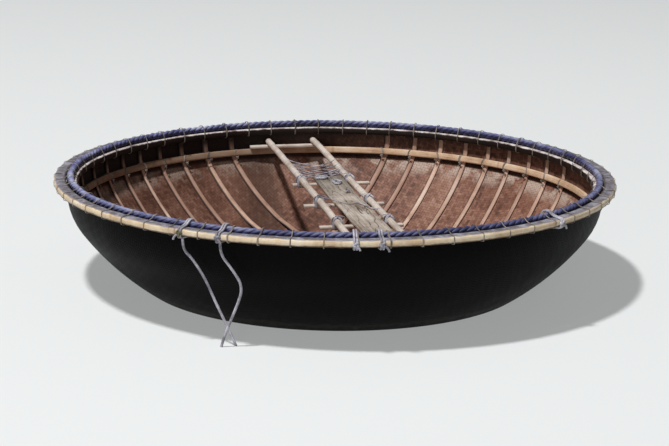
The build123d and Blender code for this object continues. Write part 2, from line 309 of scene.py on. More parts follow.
def knot(centre, right, up, size, points=18):
    """An overhand knot pulled tight: one closed loop that crosses itself three times."""
    out = right.cross(up)
    route = []
    for k in range(points):
        turn = tau * k / points
        aside = right * (sin(turn) + 2 * sin(2 * turn)) + up * (cos(turn) - 2 * cos(2 * turn))
        route.append(centre + (aside - out * sin(3 * turn)) * size / 3)
    return route


def random_waves(rng, count, sizes, rates, draw_rate):
    """A few waves that make a cane crooked: height, rate and start of each."""
    return [(rng.uniform(*sizes), draw_rate(*rates), rng.uniform(0, tau)) for _ in range(count)]


def wave_height(waves, distance):
    return sum(size * sin(rate * distance + start) for size, rate, start in waves)


def joint_swell(distance, period, height=JOINT_HEIGHT):
    """Height of the ridge at a cane's joints."""
    offset = (distance / period + 0.5) % 1 - 0.5
    return height * exp(-(offset * period / JOINT_LENGTH) ** 2)


def rounded_section(share, low, high, bottom, top, squareness):
    """Point of a rounded bar's outline at this share of the way round; a small squareness is a square bar."""
    c, s = cos(tau * share), sin(tau * share)
    return ((low + high) / 2 + (high - low) / 2 * (abs(c) ** squareness) * (1 if c > 0 else -1),
            (bottom + top) / 2 + (top - bottom) / 2 * (abs(s) ** squareness) * (1 if s > 0 else -1))


def ring_point(radius, angle, z):
    return Vector((radius * cos(angle), radius * sin(angle), z))


# The bowl's lines

def bowl_stations():
    """Stations up the bowl's outer face: radius, height, inward normal and distance from the middle."""
    shoulder_centre = (WALL_RADIUS - SHOULDER_RADIUS, UPRIGHT_Z)
    shoulder_end = (shoulder_centre[0] + SHOULDER_RADIUS * cos(SHOULDER_TURN),
                    shoulder_centre[1] - SHOULDER_RADIUS * sin(SHOULDER_TURN))
    side_turn = 2 * (atan2(shoulder_end[0] - WATERLINE_RADIUS, shoulder_end[1]) - SHOULDER_TURN)
    side_radius = hypot(shoulder_end[0] - WATERLINE_RADIUS, shoulder_end[1]) / 2 / sin(side_turn / 2)
    side_centre = (shoulder_end[0] - side_radius * cos(SHOULDER_TURN),
                   shoulder_end[1] + side_radius * sin(SHOULDER_TURN))
    foot_turn = SHOULDER_TURN + side_turn
    bilge_centre = (WATERLINE_RADIUS - BILGE_RADIUS * cos(foot_turn), BILGE_RADIUS * sin(foot_turn))
    height = bilge_centre[1] + DRAFT
    floor_radius = (bilge_centre[0] ** 2 + height ** 2 - BILGE_RADIUS ** 2) / 2 / (height - BILGE_RADIUS)
    floor_turn = atan2(bilge_centre[0], floor_radius - DRAFT - bilge_centre[1])
    arcs = (             # centre, radius, first and last angle
        ((0.0, floor_radius - DRAFT), floor_radius, -pi / 2, floor_turn - pi / 2),
        (bilge_centre, BILGE_RADIUS, floor_turn - pi / 2, -foot_turn),
        (side_centre, side_radius, -foot_turn, -SHOULDER_TURN),
        (shoulder_centre, SHOULDER_RADIUS, -SHOULDER_TURN, 0.0),
    )
    rows = []
    travelled = 0.0
    for (x, z), radius, start, end in arcs:
        count = ceil((end - start) * radius / STATION_STEP)
        for k in range(count):
            angle = start + (end - start) * k / count
            rows.append((x + radius * cos(angle), z + radius * sin(angle), -cos(angle), -sin(angle),
                         travelled + (angle - start) * radius))
        travelled += (end - start) * radius
    for k in range(UPRIGHT_STATIONS):
        up = (HULL_TOP - UPRIGHT_Z) * k / (UPRIGHT_STATIONS - 1)
        rows.append((WALL_RADIUS, UPRIGHT_Z + up, -1.0, 0.0, travelled + up))
    return np.array(rows)


BOWL = bowl_stations()


# Patterns that several materials share; sizes of their grain are in millimetres

def object_place(node):
    """Place on the boat, and its ways to the right, away from the viewer and up from the waterline."""
    place = node("TexCoord").outputs["Object"]
    return place, *node("SeparateXYZ", place).outputs


def band(node, value, start, full, fade, end):
    """1 between full and fade, falling evenly to 0 at start and end."""
    rise = node("MapRange", value, start, full)
    fall = node("MapRange", value, end, fade)
    return node("Math", rise, fall, operation="MULTIPLY")


def coat(node, under, colour, *amounts):
    """Lays a colour over another one, as much as its amounts multiplied."""
    amount = amounts[0]
    for other in amounts[1:]:
        amount = node("Math", amount, other, operation="MULTIPLY")
    return node("Mix", amount, under, colour, data_type="RGBA")


def finish_material(node, colour, relief, strength, depth, **surface):
    """Ends a material in one Principled surface with its relief, as deep as the real one in metres."""
    bump = node("Bump", named={"Strength": strength, "Distance": depth, "Height": relief})
    sockets = {name.replace("_", " "): value for name, value in surface.items()}
    node("OutputMaterial", node("BsdfPrincipled", named={"Base Color": colour, "Normal": bump, **sockets}))


def weave_relief(node):
    """Twill weave of flat strips on the UV map: height, each strip's tone, fibres along it, and edges."""
    turned = node("Mapping", node("UVMap", uv_map="weave"),
                  named={"Rotation": (0, 0, WEAVE_TURN), "Scale": (1 / STRIP_WIDTH, 1 / STRIP_WIDTH, 1)})
    across, up, _ = node("SeparateXYZ", turned).outputs
    column = node("Math", across, operation="FLOOR")
    row = node("Math", up, operation="FLOOR")
    phase = node("Math", node("Math", column, row, operation="ADD"), 4.0, operation="FLOORED_MODULO")
    column_on_top = node("Math", phase, 1.5, operation="LESS_THAN")

    def of_top(column_value, row_value):
        return node("Mix", column_on_top, row_value, column_value)

    cross = of_top(node("Math", across, operation="FRACT"), node("Math", up, operation="FRACT"))
    cross = node("Math", cross, 2.0, -1.0, operation="MULTIPLY_ADD")
    crown = node("Math", cross, operation="ABSOLUTE")
    run = of_top(node("Math", column, up, operation="ADD"), node("Math", row, across, operation="ADD"))
    run = node("Math", node("Math", run, 2.0, operation="FLOORED_MODULO"), -1.0, operation="ADD")
    side_edges = node("Math", crown, 6.0, operation="POWER")
    end_edges = node("Math", run, 4.0, operation="POWER")
    edges = node("Math", side_edges, end_edges, operation="ADD")
    height = node("Math", 1.0, edges, operation="SUBTRACT")
    number = node("Math", column_on_top, 517.0, of_top(column, row), operation="MULTIPLY_ADD")
    tone = node("TexWhiteNoise", number, noise_dimensions="1D")
    fibre = node("TexNoise", node("CombineXYZ", of_top(up, across), number), 2.0, 6.0, 0.6)
    return height, tone, fibre, edges


def cane_tones(node, dark, middle, light, fibre_mm, joint_period):
    """Colour of cane on its UV map: fibres 111 mm long, stains, and a dark ring at every second joint."""
    sheet = node("UVMap", uv_map="cane")
    stretched = node("Mapping", sheet, named={"Scale": (1000 / 111, 1000 / fibre_mm, 1.0)})
    fibre = node("TexNoise", stretched, 1.0, 5.0, 0.6)
    cloud = node("TexNoise", node("TexCoord").outputs["Object"], 1000 / 125, 6.0, 0.66)
    tone = node("Mix", 0.55, fibre, cloud)
    base = node("ValToRGB", tone, stops=((0.36, dark), (0.50, middle), (0.64, light)))
    joints = node("Math", node("SeparateXYZ", sheet), joint_period, operation="DIVIDE")
    offset = node("Math", joints, 1.0, operation="PINGPONG")
    return coat(node, base, dark, node("MapRange", offset, 0.0, 0.02, 0.5, 0.0)), fibre


# Materials

def bamboo_weave_varnished():
    """Woven split bamboo under thin red-brown resin, paler in patches under the stringer. Painted shade
    darkens a band behind the stringer, the wall above it and the gaps between the strips.

    Painted shade also darkens its left side, and a panel of painted shade runs along the bench on the far
    floor.
    """
    material, node = new_material("bamboo_weave_varnished")
    relief, tone, fibre, edges = weave_relief(node)
    place, aside, away, height = object_place(node)
    stain = node("TexNoise", place, 1000 / 323, 8.0, 0.62)
    speckle = node("TexNoise", place, 1000 / 29.4, 4.0, 0.7)
    speckled = node("Math", speckle, 0.38, operation="MULTIPLY")
    mottle = node("Math", stain, 0.62, speckled, operation="MULTIPLY_ADD")
    fibrous = node("Math", fibre, 0.12, operation="MULTIPLY")
    strips = node("Math", tone, 0.16, fibrous, operation="MULTIPLY_ADD")
    evened = node("Math", strips, -0.14, operation="ADD")
    base = node("ValToRGB", node("Math", mottle, evened, operation="ADD"),
                stops=((0.36, "#5a3a2c"), (0.47, "#835948"), (0.57, "#9a6f5c"), (0.70, "#b58f7c")))
    patches = node("MapRange", node("TexNoise", place, 1000 / 111, 6.0, 0.7), 0.44, 0.54)
    colour = coat(node, base, "#cdb8a8", patches, band(node, height, 0.190, 0.232, 0.247, 0.254), 0.85)
    # Painted shade: the skin darkens towards its left side.
    colour = coat(node, colour, "#4d3126", node("MapRange", aside, 0.10, -0.60, 0.0, 0.45))
    # Painted shadow: a dark panel along the bench's left side, on the far floor.
    off_bench = node("Math", away, tan(BENCH_ANGLE), aside, operation="MULTIPLY_ADD")
    colour = coat(node, colour, "#3a2519", band(node, off_bench, -0.27, -0.18, -0.09, -0.03),
                  node("MapRange", away, 0.20, 0.42, 0.0, 0.62))
    # Painted shade: a dark band on the skin just behind the stringer.
    behind_stringer = band(node, height, 0.247, 0.257, 0.274, 0.284)
    colour = coat(node, colour, "#1c0f0a", behind_stringer, 0.85)
    # Painted shade: the wall above the stringer darkens, most on the left side.
    colour = coat(node, colour, "#1c110d", node("MapRange", height, 0.268, 0.296),
                  node("MapRange", aside, -0.45, 0.25, 1.0, 0.30))
    # Painted shade: the wall darkens nearly to black under the rim, more on the left.
    colour = coat(node, colour, "#0d0806", node("MapRange", height, 0.312, 0.345),
                  node("MapRange", aside, -0.45, 0.25, 0.95, 0.55))
    # Painted shade in the gaps between the woven strips.
    colour = coat(node, colour, "#2f1b15", node("MapRange", edges, 0.35, 1.3, 0.0, 0.6))
    finish_material(node, colour, relief, 0.45, 0.0010, Roughness=0.62, Specular_IOR_Level=0.3)
    return material


def bamboo_weave_pitched():
    """The same weave drowned in black pitch: low relief, runs down the side, a damp band at the waterline."""
    material, node = new_material("bamboo_weave_pitched")
    relief, tone, _, _ = weave_relief(node)
    place, _, _, height = object_place(node)
    runs = node("Mapping", place, named={"Scale": (1000 / 50.5, 1000 / 50.5, 1000 / 350)})
    streak = node("TexNoise", runs, 1.0, 6.0, 0.6)
    lumps = node("TexNoise", place, 1000 / 26.3, 4.0, 0.6)
    base = node("ValToRGB", streak, stops=((0.30, "#020202"), (0.55, "#050404"), (0.75, "#0c0a08")))
    high_strips = node("Math", relief, tone, operation="MULTIPLY")
    colour = coat(node, base, "#100c09", node("MapRange", high_strips, 0.55, 1.0, 0.0, 0.30))
    level = node("Math", streak, -0.05, height, operation="MULTIPLY_ADD")
    colour = coat(node, colour, "#4a463c", band(node, level, -0.012, 0.002, 0.004, 0.016), 0.35)
    lumpy = node("Math", lumps, 0.6, relief, operation="MULTIPLY_ADD")
    finish_material(node, colour, lumpy, 0.5, 0.0010, Specular_IOR_Level=0.05,
                    Roughness=node("MapRange", streak, 0.0, 1.0, 0.42, 0.66))
    return material


def split_bamboo(name, tones, fibre_mm, joint_period, rough, damp_and_shade=0.0):
    """Bamboo cane, whole or split, dry and dull; a painted shade can darken its left side browner."""
    material, node = new_material(name)
    colour, fibre = cane_tones(node, *tones, fibre_mm, joint_period)
    if damp_and_shade:
        aside = object_place(node)[1]
        # Painted shade on the left side, as strong as the setting asks.
        colour = coat(node, colour, "#5e4136", node("MapRange", aside, -0.08, -0.40, 0.0, damp_and_shade))
    finish_material(node, colour, fibre, 0.35, 0.0006, Roughness=rough, Specular_IOR_Level=0.3)
    return material


def split_bamboo_varnished():
    """Cane of the ribs, each in its own tone: pale along its crown, dark along both edges with resin and
    painted shade, wider on one side like a shadow.
    """
    material, node = new_material("split_bamboo_varnished")
    colour, fibre = cane_tones(node, "#9a7360", "#d6b19b", "#f6e0cf", 1.2, RIB_JOINTS)
    along, across, _ = node("SeparateXYZ", node("UVMap", uv_map="cane")).outputs
    strides = node("Math", along, 1 / RIB_STRIDE, 0.5, operation="MULTIPLY_ADD")
    own = node("TexWhiteNoise", node("Math", strides, operation="FLOOR"), noise_dimensions="1D")
    colour = coat(node, colour, "#8f6452", node("MapRange", own, 0.25, 0.75, 0.5, 0.0))
    # Painted shade with resin along both edges, shifted so that one edge is darker and wider.
    off_crown = node("Math", node("Math", across, 0.002, operation="ADD"), operation="ABSOLUTE")
    edge = node("Math", fibre, 0.003, off_crown, operation="MULTIPLY_ADD")
    colour = coat(node, colour, "#26150f", node("MapRange", edge, 0.0080, 0.0120, 0.0, 0.9))
    _, aside, _, height = object_place(node)
    # Painted shade: the ribs' tops above the stringer darken, most on the left side.
    colour = coat(node, colour, "#150c09", node("MapRange", height, 0.288, 0.330, 0.0, 0.92),
                  node("MapRange", aside, -0.45, 0.25, 1.0, 0.35))
    finish_material(node, colour, fibre, 0.35, 0.0006, Roughness=0.55, Specular_IOR_Level=0.3)
    return material


def rim_cane(name, section, foot, cane, head):
    """Cane of a rim hoop: dark along its foot, partly pitch and partly painted shade, with a line of painted
    shade beside the rope; stained, with the head tones over its top.
    """
    material, node = new_material(name)
    low, high = section[2:]
    colour, fibre = cane_tones(node, *cane, 1.4, OUTER_HOOP_JOINTS)
    place, _, _, height = object_place(node)
    spots = node("TexNoise", place, 1000 / 38.5, 6.0, 0.7)
    wave = node("Math", spots, -0.5, operation="ADD")
    wavering = node("Math", wave, 0.010, height, operation="MULTIPLY_ADD")
    stains = node("TexNoise", place, 1000 / 200, 6.0, 0.7)
    colour = coat(node, colour, cane[0], node("MapRange", stains, 0.50, 0.64, 0.0, 0.6))
    # Dark along the foot: partly pitch, partly painted shade.
    colour = coat(node, colour, foot, node("MapRange", wavering, low + 0.0045, low + 0.0085, 0.92, 0.0))
    # The head tones over the top: a pale painted highlight on the inner hoop, grey-lavender on the outer
    # hoop.
    top = node("ValToRGB", spots, stops=((0.36, head[0]), (0.50, head[1]), (0.64, head[2])))
    colour = coat(node, colour, top, node("MapRange", wavering, high - 0.0042, high - 0.0012, 0.0, 0.9))
    # Painted shade: a dark line in the gap between the outer hoop and the rope.
    flat = node("VectorMath", place, (1.0, 1.0, 0.0), operation="MULTIPLY")
    radius = node("VectorMath", flat, operation="LENGTH")
    colour = coat(node, colour, "#100e14", band(node, radius, 0.950, 0.955, 0.960, 0.967), 0.85)
    finish_material(node, colour, fibre, 0.4, 0.0008, Roughness=0.6, Specular_IOR_Level=0.3)
    return material


def laid_rope_polypropylene(low, high):
    """Three-strand polypropylene rope: indigo at its sides, lavender on top, partly bleached and partly a
    painted highlight.
    """
    material, node = new_material("laid_rope_polypropylene")
    place, aside, away, height = object_place(node)
    wear = node("TexNoise", place, 1000 / 200, 8.0, 0.7)
    fuzz = node("TexNoise", place, 1000 / 2.38, 2.0, 0.6)
    sides = node("ValToRGB", wear, stops=((0.35, "#131430"), (0.52, "#232656"), (0.68, "#41457c")))
    top = node("ValToRGB", wear, stops=((0.38, "#44467a"), (0.50, "#7a7ca9"), (0.63, "#c2c4dc")))
    # Lavender top: partly bleaching, partly painted highlight, stronger on the left and far side.
    crown = node("MapRange", height, low + 0.50 * (high - low), low + 0.88 * (high - low))
    bleach_and_highlight = node("Math", node("MapRange", aside, -0.5, 0.5, 0.95, 0.6),
               node("MapRange", away, -0.85, -0.35, 0.60, 1.0), operation="MULTIPLY")
    finish_material(node, coat(node, sides, top, crown, bleach_and_highlight), fuzz, 0.4, 0.0006, Roughness=0.55,
                    Sheen_Weight=0.15, Sheen_Roughness=0.4)
    return material


def twisted_cord_nylon(name, dark, light):
    """Weathered nylon cord: dull and fuzzy, darker where it is damp."""
    material, node = new_material(name)
    place = node("TexCoord").outputs["Object"]
    fuzz = node("TexNoise", place, 1000 / 1.67, 2.0, 0.6)
    damp_and_shade = node("TexNoise", place, 1000 / 45.5, 5.0, 0.6)
    colour = node("ValToRGB", damp_and_shade, stops=((0.36, dark), (0.62, light)))
    finish_material(node, colour, fuzz, 0.5, 0.0005, Roughness=0.85, Sheen_Weight=0.15)
    return material


def sawn_softwood_weathered():
    """Weathered softwood board: silver-grey grain, dark cracks along it, mossy at its far end."""
    material, node = new_material("sawn_softwood_weathered")
    sheet = node("UVMap", uv_map="cane")
    grain_place = node("Mapping", sheet, named={"Scale": (1000 / 200, 1000 / 3.85, 1.0)})
    crack_place = node("Mapping", sheet, named={"Scale": (1000 / 455, 1000 / 13.3, 1.0)})
    grain = node("TexNoise", grain_place, 1.0, 6.0, 0.6)
    crack_lines = node("TexNoise", crack_place, 1.0, 3.0, 0.6)
    cloud = node("TexNoise", node("TexCoord").outputs["Object"], 1000 / 100, 6.0, 0.65)
    cloudy = node("Math", cloud, 0.5, operation="MULTIPLY")
    tone = node("Math", grain, 0.5, cloudy, operation="MULTIPLY_ADD")
    colour = node("ValToRGB", tone, stops=((0.36, "#75675c"), (0.48, "#a8998c"), (0.62, "#d3c8bd")))
    far_end = node("MapRange", node("SeparateXYZ", sheet), 0.78, 1.12, 0.0, 0.6)
    colour = coat(node, colour, "#56534a", far_end)
    off_line = node("Math", node("Math", crack_lines, -0.5, operation="ADD"), operation="ABSOLUTE")
    cracks = node("MapRange", off_line, 0.012, 0.004)
    colour = coat(node, colour, "#33271f", cracks, 0.8)
    relief = node("Math", cracks, -1.5, grain, operation="MULTIPLY_ADD")
    finish_material(node, colour, relief, 0.6, 0.0010, Roughness=0.8, Specular_IOR_Level=0.25)
    return material


# Cords first: the bridle hangs from the near rim down below the waterline

BRIDLE_DIAMETER = 0.009
HITCH_EXIT_RADIUS = 0.985
HITCH_EXIT_Z = 0.3504
BRIDLE_STARTS = [(HITCH_EXIT_RADIUS * cos(angle), HITCH_EXIT_RADIUS * sin(angle), HITCH_EXIT_Z)
                 for angle in HITCH_ANGLES[:2]]
BRIDLE_EXIT_RUN = 0.034      # straight down out of each hitch
BRIDLE_OFFSETS = (           # from the first hitch's exit: to the right, away and up
    (0.030, 0.003, -0.064),
    (0.070, 0.006, -0.128),
    (0.104, 0.008, -0.208),
    (0.139, 0.010, -0.282),
    (0.166, 0.008, -0.341),
    (0.188, 0.004, -0.388),
    (0.176, -0.002, -0.415),
    (0.137, -0.007, -0.417),
    (0.117, -0.011, -0.388),
    (0.127, -0.014, -0.341),
    (0.150, -0.018, -0.276),
    (0.177, -0.024, -0.211),
    (0.199, -0.031, -0.143),
    (0.159, -0.041, -0.077),
)


def bridle_route():
    """Out of the first hitch, down below the waterline and back up into the second."""
    first, second = (Vector(start) for start in BRIDLE_STARTS)
    down = Vector((0, 0, BRIDLE_EXIT_RUN))
    hanging = [first + Vector(offset) for offset in BRIDLE_OFFSETS]
    return [first, first - down, *hanging, second - down, second]


def make_bridle(material):
    bridle = cord_curve("bridle_cord", BRIDLE_DIAMETER, ends=[bridle_route()], bevel=4, steps=12)
    settle(bridle, [material], "pale_cord", "bridle_rope")
    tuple(BRIDLE_STARTS[0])


# Bowl

def travelled_at(radius, z):
    """Distance from the middle along the bowl, for a point on or in its skin."""
    if z >= UPRIGHT_Z:
        return BOWL[-UPRIGHT_STATIONS, 4] + z - UPRIGHT_Z
    gaps = (BOWL[:, 0] - radius) ** 2 + (BOWL[:, 1] - z) ** 2
    return BOWL[int(np.argmin(gaps)), 4]


def make_hull(inside, outside):
    """The skin: its half section spun round the middle, woven side and pitched side."""
    over_bowl = Vector((0, 0, 0.9))
    stations = np.vstack([BOWL[::3], BOWL[-1]])
    outer = [(r, z) for r, z, nr, nz, s in stations]
    inner = [(r + nr * WALL, z + nz * WALL) for r, z, nr, nz, s in stations]
    bm = bmesh.new()
    verts = [bm.verts.new((r, 0.0, z)) for r, z in outer + inner[::-1]]
    edges = [bm.edges.new(pair) for pair in zip(verts, verts[1:])]
    bmesh.ops.spin(bm, geom=verts + edges, axis=(0, 0, 1), cent=(0, 0, 0), angle=tau, steps=240,
                   use_merge=True)
    bmesh.ops.remove_doubles(bm, verts=bm.verts[:], dist=MERGE_DISTANCE)
    bmesh.ops.recalc_face_normals(bm, faces=bm.faces[:])
    uv = bm.loops.layers.uv.new("weave")
    for face in bm.faces:
        inward = face.normal.dot(face.calc_center_median() - over_bowl) < 0
        face.material_index = 0 if inward else 1
        for loop in face.loops:
            x, y, z = loop.vert.co
            radius = hypot(x, y)
            reach = travelled_at(radius, z)
            loop[uv].uv = (reach * x / radius, reach * y / radius) if radius > 1e-6 else (0, 0)
    skin = mesh_object("bowl_skin", bm)
    settle(skin, [inside, outside], "pitched_basket", "hull_shell")


# Rim

def make_hoop(name, node, material, slot, section, joint_period, scarf_angle, seed):
    """A hoop of split cane whose two scarfed ends lie on each other, the upper one a little proud."""
    inner_r, outer_r, low_z, high_z = section
    rng = Random(seed)
    middle = (inner_r + outer_r) / 2
    overlap = HOOP_SCARF / middle
    sweep = tau + overlap
    length = sweep * middle
    girth = 2 * (outer_r - inner_r + high_z - low_z)
    cut_away = (outer_r - inner_r) * 0.62
    proud = 0.003
    waves = random_waves(rng, 6, (0.0002, 0.0005), (5, 23), rng.randint)

    def place(u, v):
        turned = u * sweep
        start_share = min(1.0, turned / overlap)
        end_share = min(1.0, (sweep - turned) / overlap)
        low = inner_r + cut_away * (1 - end_share)
        high = outer_r - cut_away * (1 - start_share)
        swell = joint_swell(u * length, joint_period)
        wander = wave_height(waves, turned) * 0.5
        r, z = rounded_section(v, low - swell * 0.2, high + swell, low_z - swell, high_z + swell, 0.55)
        r += proud * (1 - end_share) ** 3 + min(0, wander)
        return ring_point(r, scarf_angle + turned, z + wander * 0.5)

    hoop = bent_bar(name, 560, 20, place, length, girth)
    settle(hoop, [material], slot, node)


def make_rim_rope():
    """Three strands laid round each other along the top of the rim."""
    low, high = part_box("rim_rope")
    radius = (high[2] - low[2]) / 2
    ring = high[0] - radius
    middle_z = (high[2] + low[2]) / 2
    strand = radius * 0.52
    lay_turns = 74
    points = lay_turns * 9
    sway = ((0.0007, 7, 1.3), (0.0006, 19, 0.0))
    strands = []
    for k in range(3):
        route = []
        for step in range(points):
            angle = tau * step / points
            lay = lay_turns * angle + tau * k / 3
            route.append(ring_point(ring + wave_height(sway, angle) + (radius - strand) * cos(lay), angle,
                                    middle_z + (radius - strand) * sin(lay)))
        strands.append(route)
    rope = cord_curve("rim_rope_strands", 2 * strand, loops=strands, bevel=3, steps=2)
    settle(rope, [laid_rope_polypropylene(low[2], high[2])], "blue_rope", "rim_rope")


# One turn of cord round the rim's section, as radius and height
RIM_LOOP = (
    (0.9500, 0.3565), (0.9760, 0.3575), (0.9945, 0.3575), (1.0002, 0.3620), (1.0000, 0.3720),   # outer hoop
    (1.0002, 0.3830), (0.9940, 0.3872), (0.9740, 0.3872),
    (0.9590, 0.3930), (0.9530, 0.4000), (0.9420, 0.4020), (0.9310, 0.4000), (0.9260, 0.3900),   # rope
    (0.9180, 0.3770), (0.9168, 0.3640), (0.9172, 0.3510), (0.9250, 0.3455), (0.9400, 0.3455),   # inner hoop
)
RIM_MIDDLE = Vector((0.958, 0.373))


def rim_loop(angle, spread, proud, lean, rng):
    """One turn of cord round the rim at this angle, moved sideways by spread and out by proud."""
    points = []
    for k, corner in enumerate(RIM_LOOP):
        r, z = Vector(corner) + (Vector(corner) - RIM_MIDDLE).normalized() * proud
        shift = (spread + lean * (k / len(RIM_LOOP) - 0.5)) / RIM_RADIUS + rng.uniform(-0.0003, 0.0003)
        points.append(ring_point(r, angle + shift, z))
    return points


def make_rim_lashings(material):
    """Thin cord lashings every 6 degrees, two or three turns each."""
    rng = Random(11)
    cord = 0.0016
    gap = 0.0003
    turns = []
    for k in range(RIM_LASHINGS):
        angle = tau / RIM_LASHINGS * (k + 0.5) + rng.uniform(-0.003, 0.003)
        number = rng.choice((2, 2, 3))
        lean = rng.uniform(-0.004, 0.006)
        for turn in range(number):
            spread = (turn - (number - 1) / 2) * (cord + gap)
            turns.append(rim_loop(angle, spread, cord * 0.42, lean, rng))
    lashings = cord_curve("rim_lashing_cords", cord, loops=turns, bevel=1, steps=2)
    settle(lashings, [material], "pale_cord", "rim_lashings")


def make_rim_hitches(material, stained):
    """Two round turns of thick cord, a knot on the outer hoop and its cut end, at each place on the rim."""
    rng = Random(5)
    cord = 0.008
    loops, ends = [], []
    up = Vector((0, 0, 1))
    for angle in HITCH_ANGLES:
        for turn in (-0.5, 0.5):
            loops.append(rim_loop(angle, turn * cord * 1.05, cord * 0.46, 0.003, rng))
        out, right = ring_point(1, angle, 0), ring_point(1, angle + pi / 2, 0)
        centre = ring_point(1.0065, angle, 0.3715)
        roll = rng.uniform(-0.6, 0.6)
        along, across = right * cos(roll) + up * sin(roll), up * cos(roll) - right * sin(roll)
        loops.append(knot(centre, along, across, 0.0095))
        side, reach = rng.choice((-1, 1)), rng.uniform(0.014, 0.026)
        ends.append([centre, centre + right * side * reach * 0.6 + out * 0.004 - up * 0.006,
                     centre + right * side * reach * 0.8 + out * 0.002 - up * (0.008 + reach * 0.5)])
    hitches = cord_curve("rim_hitch_cords", cord * 0.85, loops=loops, ends=ends, bevel=3)
    for each in (material, stained):
        hitches.data.materials.append(each)
    hitches.data.splines[2].material_index = 1
    settle(hitches, [], "pale_cord", "rim_hitches")


# Ribs

def rib_line(offset, depth_of, count):
    """Points of a rib's edge line, middle to rim: place along it, height, normal, radius, depth, travel."""
    flat = np.linspace(0.0, sqrt(EVEN_REACH ** 2 - offset ** 2), 90)
    flat_r = np.hypot(flat, offset)
    wall = BOWL[BOWL[:, 0] > EVEN_REACH + 0.001]
    r = np.concatenate([flat_r, wall[:, 0]])
    z, nr, nz = (np.concatenate([np.interp(flat_r, BOWL[:, 0], BOWL[:, k]), wall[:, k]]) for k in (1, 2, 3))
    along = np.sqrt(np.maximum(r ** 2 - offset ** 2, 0.0))
    keep = z <= RIB_TOP
    r, z, nr, nz, along = r[keep], z[keep], nr[keep], nz[keep], along[keep]
    travelled = np.concatenate([[0.0], np.cumsum(np.hypot(np.diff(along), np.diff(z)))])
    even = np.linspace(0.0, travelled[-1], count)
    columns = [np.interp(even, travelled, values) for values in (along, z, nr, nz, r)]
    depth = np.array([depth_of(value) for value in columns[4]])
    return np.column_stack([*columns, depth, even])


def make_rib(name, angle, shift, depth_of, material, seed):
    """A split of cane bent to the bowl: flat against the skin, crowned on top, with its joints."""
    rng = Random(seed)
    rows = 70
    columns = 7
    waves = random_waves(rng, 3, (0.0008, 0.0022), (1.5, 6.0), rng.uniform)
    width = RIB_WIDTH * rng.uniform(0.84, 1.0)
    first_joint = rng.uniform(0, RIB_JOINTS)
    direction, sideways = ring_point(1, angle, 0), ring_point(1, angle + pi / 2, 0)
    lines = [rib_line(shift + width * (k / (columns - 1) - 0.5), depth_of, rows) for k in range(columns)]
    length = 2 * lines[columns // 2][-1][6]

    def place(u, v):
        side = 1 if u >= 0.5 else -1
        share = abs(u - 0.5) * 2
        along, z, nr, nz, r, depth, travelled = lines[round(v * (columns - 1))][round(share * (rows - 1))]
        crown = 1 - 0.42 * abs(v * 2 - 1) ** 2.2
        swell = joint_swell(side * travelled + first_joint, RIB_JOINTS)
        off = shift + width * (v - 0.5)
        spot = direction * (side * along) + sideways * (off + wave_height(waves, side * travelled))
        outward = (direction * (side * along) + sideways * off) / max(r, 1e-6)
        reach = depth + RIB_THICKNESS * 0.96 * crown + swell
        return spot + outward * (nr * reach) + Vector((0, 0, z + nz * reach))

    bm = placed_grid(2 * (rows - 1), columns - 1, place,
                     lambda u, v: ((u - 0.5) * length + seed * RIB_STRIDE, (v - 0.5) * width))
    bmesh.ops.recalc_face_normals(bm, faces=bm.faces[:])
    if sum(face.normal.z for face in bm.faces) < 0:
        bmesh.ops.reverse_faces(bm, faces=bm.faces[:])
    rib = mesh_object(name + "_split", bm)
    solid = rib.modifiers.new("thickness", "SOLIDIFY")
    solid.thickness = RIB_THICKNESS * 0.62
    solid.offset = -1.0
    edge = rib.modifiers.new("edge", "BEVEL")
    edge.width = 0.0010
    edge.segments = 2
    edge.limit_method = "ANGLE"
    edge.angle_limit = radians(50)
    settle(rib, [material], "rib_bamboo", name)


def climbing_depth(radius):
    """Depth of a crossing rib's underside: on the other ribs inside the waterline, on the skin outside it."""
    share = min(1.0, max(0.0, (radius - WATERLINE_RADIUS) / (CLIMB_RADIUS - WATERLINE_RADIUS)))
    share = share * share * (3 - 2 * share)
    return UPPER_RIB_DEPTH + (LOWER_RIB_DEPTH - UPPER_RIB_DEPTH) * share


def rib_shift(k):
    """How far the k-th rib of a layer lies beside the middle."""
    return (k - (RIBS_EACH_WAY - 1) / 2) * RIB_PITCH


def make_ribs(material):
    for k in range(RIBS_EACH_WAY):
        make_rib(f"rib_lower_{k + 1}", LOWER_RIB_ANGLE, rib_shift(k), lambda radius: LOWER_RIB_DEPTH,
                 material, 31 + k)
        make_rib(f"rib_upper_{k + 1}", UPPER_RIB_ANGLE, rib_shift(k), climbing_depth, material, 61 + k)


# Stringer hoop on the ribs

def stringer_point(angle, inward, up):
    """Point at this place in the stringer's leaning section."""
    return ring_point(STRINGER_RADIUS - inward * cos(STRINGER_LEAN) + up * sin(STRINGER_LEAN), angle,
                      STRINGER_Z + inward * sin(STRINGER_LEAN) + up * cos(STRINGER_LEAN))


def make_stringer(material):
    """The stringer: one split cane all the way round, its last end lashed on top of its first."""
    overlap = STRINGER_SCARF / STRINGER_RADIUS
    sweep = tau + overlap
    start = radians(98)
    half_width, half_height = STRINGER_WIDTH / 2, STRINGER_HEIGHT / 2
    end_lift = 0.012

    def place(u, v):
        turned = u * sweep
        end_share = min(1.0, (sweep - turned) / overlap)
        start_share = min(1.0, turned / overlap)
        swell = joint_swell(turned * STRINGER_RADIUS, STRINGER_JOINTS)
        inward, up = rounded_section(v, -half_width * end_share, half_width * start_share,
                                     -half_height, half_height, 0.5)
        lift = end_lift * max(0.0, 1 - end_share * 1.4) ** 2
        return stringer_point(start + turned, inward + swell * 0.6 + lift * 0.6, up * (1 + swell * 30) + lift)

    stringer = bent_bar("stringer_cane", 480, 16, place, sweep * STRINGER_RADIUS,
                        2 * (STRINGER_WIDTH + STRINGER_HEIGHT))
    settle(stringer, [material], "brown_bamboo", "stringer_hoop")


